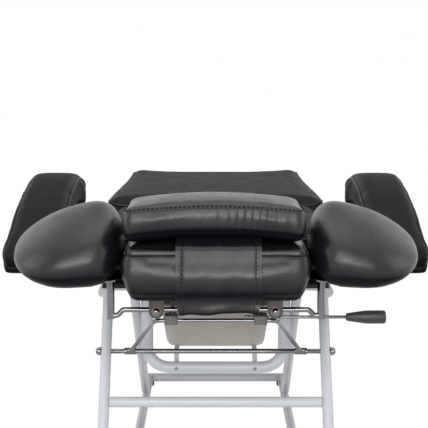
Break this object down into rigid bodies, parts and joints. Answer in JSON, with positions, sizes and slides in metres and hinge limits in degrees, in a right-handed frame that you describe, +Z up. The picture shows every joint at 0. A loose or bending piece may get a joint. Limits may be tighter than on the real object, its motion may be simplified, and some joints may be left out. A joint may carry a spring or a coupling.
{
  "type": "facial bed",
  "caption": "Padded treatment bed on a white tube frame: reclining back, swinging leg rest with strapped cushion, calf rests, arched armrests and a stored basin.",
  "frame": {"origin": "on the floor, under the centre of the bed's box", "axes": "+Y from the foot end to the head end, +X to the right seen from the foot end, +Z up"},
  "size_m": [1.0532, 1.632, 0.7026],
  "materials": {
    "black_leatherette": "satin, fine grain",
    "white_powder_coat": "satin powder coat",
    "chrome": "polished",
    "dark_steel": "dark plated",
    "black_plastic": "satin",
    "grey_plastic": "satin",
    "cream_plastic": "moulded",
    "black_board": "painted",
    "rubber_foot": "matte"
  },
  "bodies": {
    "base": {"front_leg_left": "white_powder_coat", "front_leg_right": "white_powder_coat", "diagonal_leg_left": "white_powder_coat", "diagonal_leg_right": "white_powder_coat", "floor_skid_left": "white_powder_coat", "floor_skid_right": "white_powder_coat", "seat_rail_left": "white_powder_coat", "seat_rail_right": "white_powder_coat", "foot_pad_front_left": "rubber_foot", "foot_pad_front_right": "rubber_foot", "foot_pad_rear_left": "rubber_foot", "foot_pad_rear_right": "rubber_foot", "hinge_plate_left": "dark_steel", "hinge_plate_right": "dark_steel", "recline_bolt_left": "chrome", "recline_bolt_right": "chrome", "basin_rest_left": "white_powder_coat", "basin_rest_right": "white_powder_coat", "holder_screw_left": "chrome", "holder_screw_right": "chrome", "axle_nut_left": "chrome", "axle_nut_right": "chrome", "front_floor_bar": "white_powder_coat", "rear_floor_bar": "white_powder_coat", "front_crossbar": "white_powder_coat", "seat_front_rail": "white_powder_coat", "seat_rear_rail": "white_powder_coat", "seat_board": "black_board", "seat_pad": "black_leatherette", "basin_holder": "white_powder_coat", "basin": "cream_plastic", "axle": "chrome"},
    "legrest": {"swing_frame": "chrome", "legrest_board": "black_board", "legrest_pad": "black_leatherette", "strap": "black_leatherette", "strap_cushion": "black_leatherette", "clamp_bracket_left": "dark_steel", "clamp_bracket_right": "dark_steel", "clamp_bolt_left": "chrome", "clamp_bolt_right": "chrome", "frame_clip_left": "grey_plastic", "frame_clip_right": "grey_plastic"},
    "calf_rest_left": {"calf_arm_left": "chrome", "calf_pad_left": "black_leatherette"},
    "calf_rest_right": {"calf_arm_right": "chrome", "calf_pad_right": "black_leatherette"},
    "release_lever": {"release_rod": "chrome", "release_grip": "black_plastic"},
    "backrest": {"backrest_pad": "black_leatherette", "backrest_board": "black_board", "backrest_tube": "white_powder_coat", "backrest_plate_left": "dark_steel", "backrest_plate_right": "dark_steel"},
    "armrest_left": {"armrest_pad_left": "black_leatherette", "armrest_bracket_left": "dark_steel"},
    "armrest_right": {"armrest_pad_right": "black_leatherette", "armrest_bracket_right": "dark_steel"}
  },
  "joints": [
    {"name": "legrest_swing", "type": "hinge", "parent": "base", "child": "legrest", "pos_m": [0, -0.42425, 0.2835], "axis": [1, 0, 0], "range_deg": [0, 50]},
    {"name": "calf_left_slide", "type": "slide", "parent": "legrest", "child": "calf_rest_left", "axis": [-1, 0, 0], "range_m": [0, 0.05]},
    {"name": "calf_right_slide", "type": "slide", "parent": "legrest", "child": "calf_rest_right", "axis": [1, 0, 0], "range_m": [0, 0.05]},
    {"name": "release_pull", "type": "slide", "parent": "legrest", "child": "release_lever", "axis": [1, 0, 0], "range_m": [0, 0.018]},
    {"name": "backrest_recline", "type": "hinge", "parent": "base", "child": "backrest", "pos_m": [0, 0.0119, 0.58], "axis": [1, 0, 0], "range_deg": [0, 70]},
    {"name": "armrest_left_lift", "type": "hinge", "parent": "base", "child": "armrest_left", "pos_m": [-0.4595, -0.0291, 0.4444], "axis": [-1, 0, 0], "range_deg": [0, 70]},
    {"name": "armrest_right_lift", "type": "hinge", "parent": "base", "child": "armrest_right", "pos_m": [0.4595, -0.0291, 0.4444], "axis": [-1, 0, 0], "range_deg": [0, 70]}
  ]
}
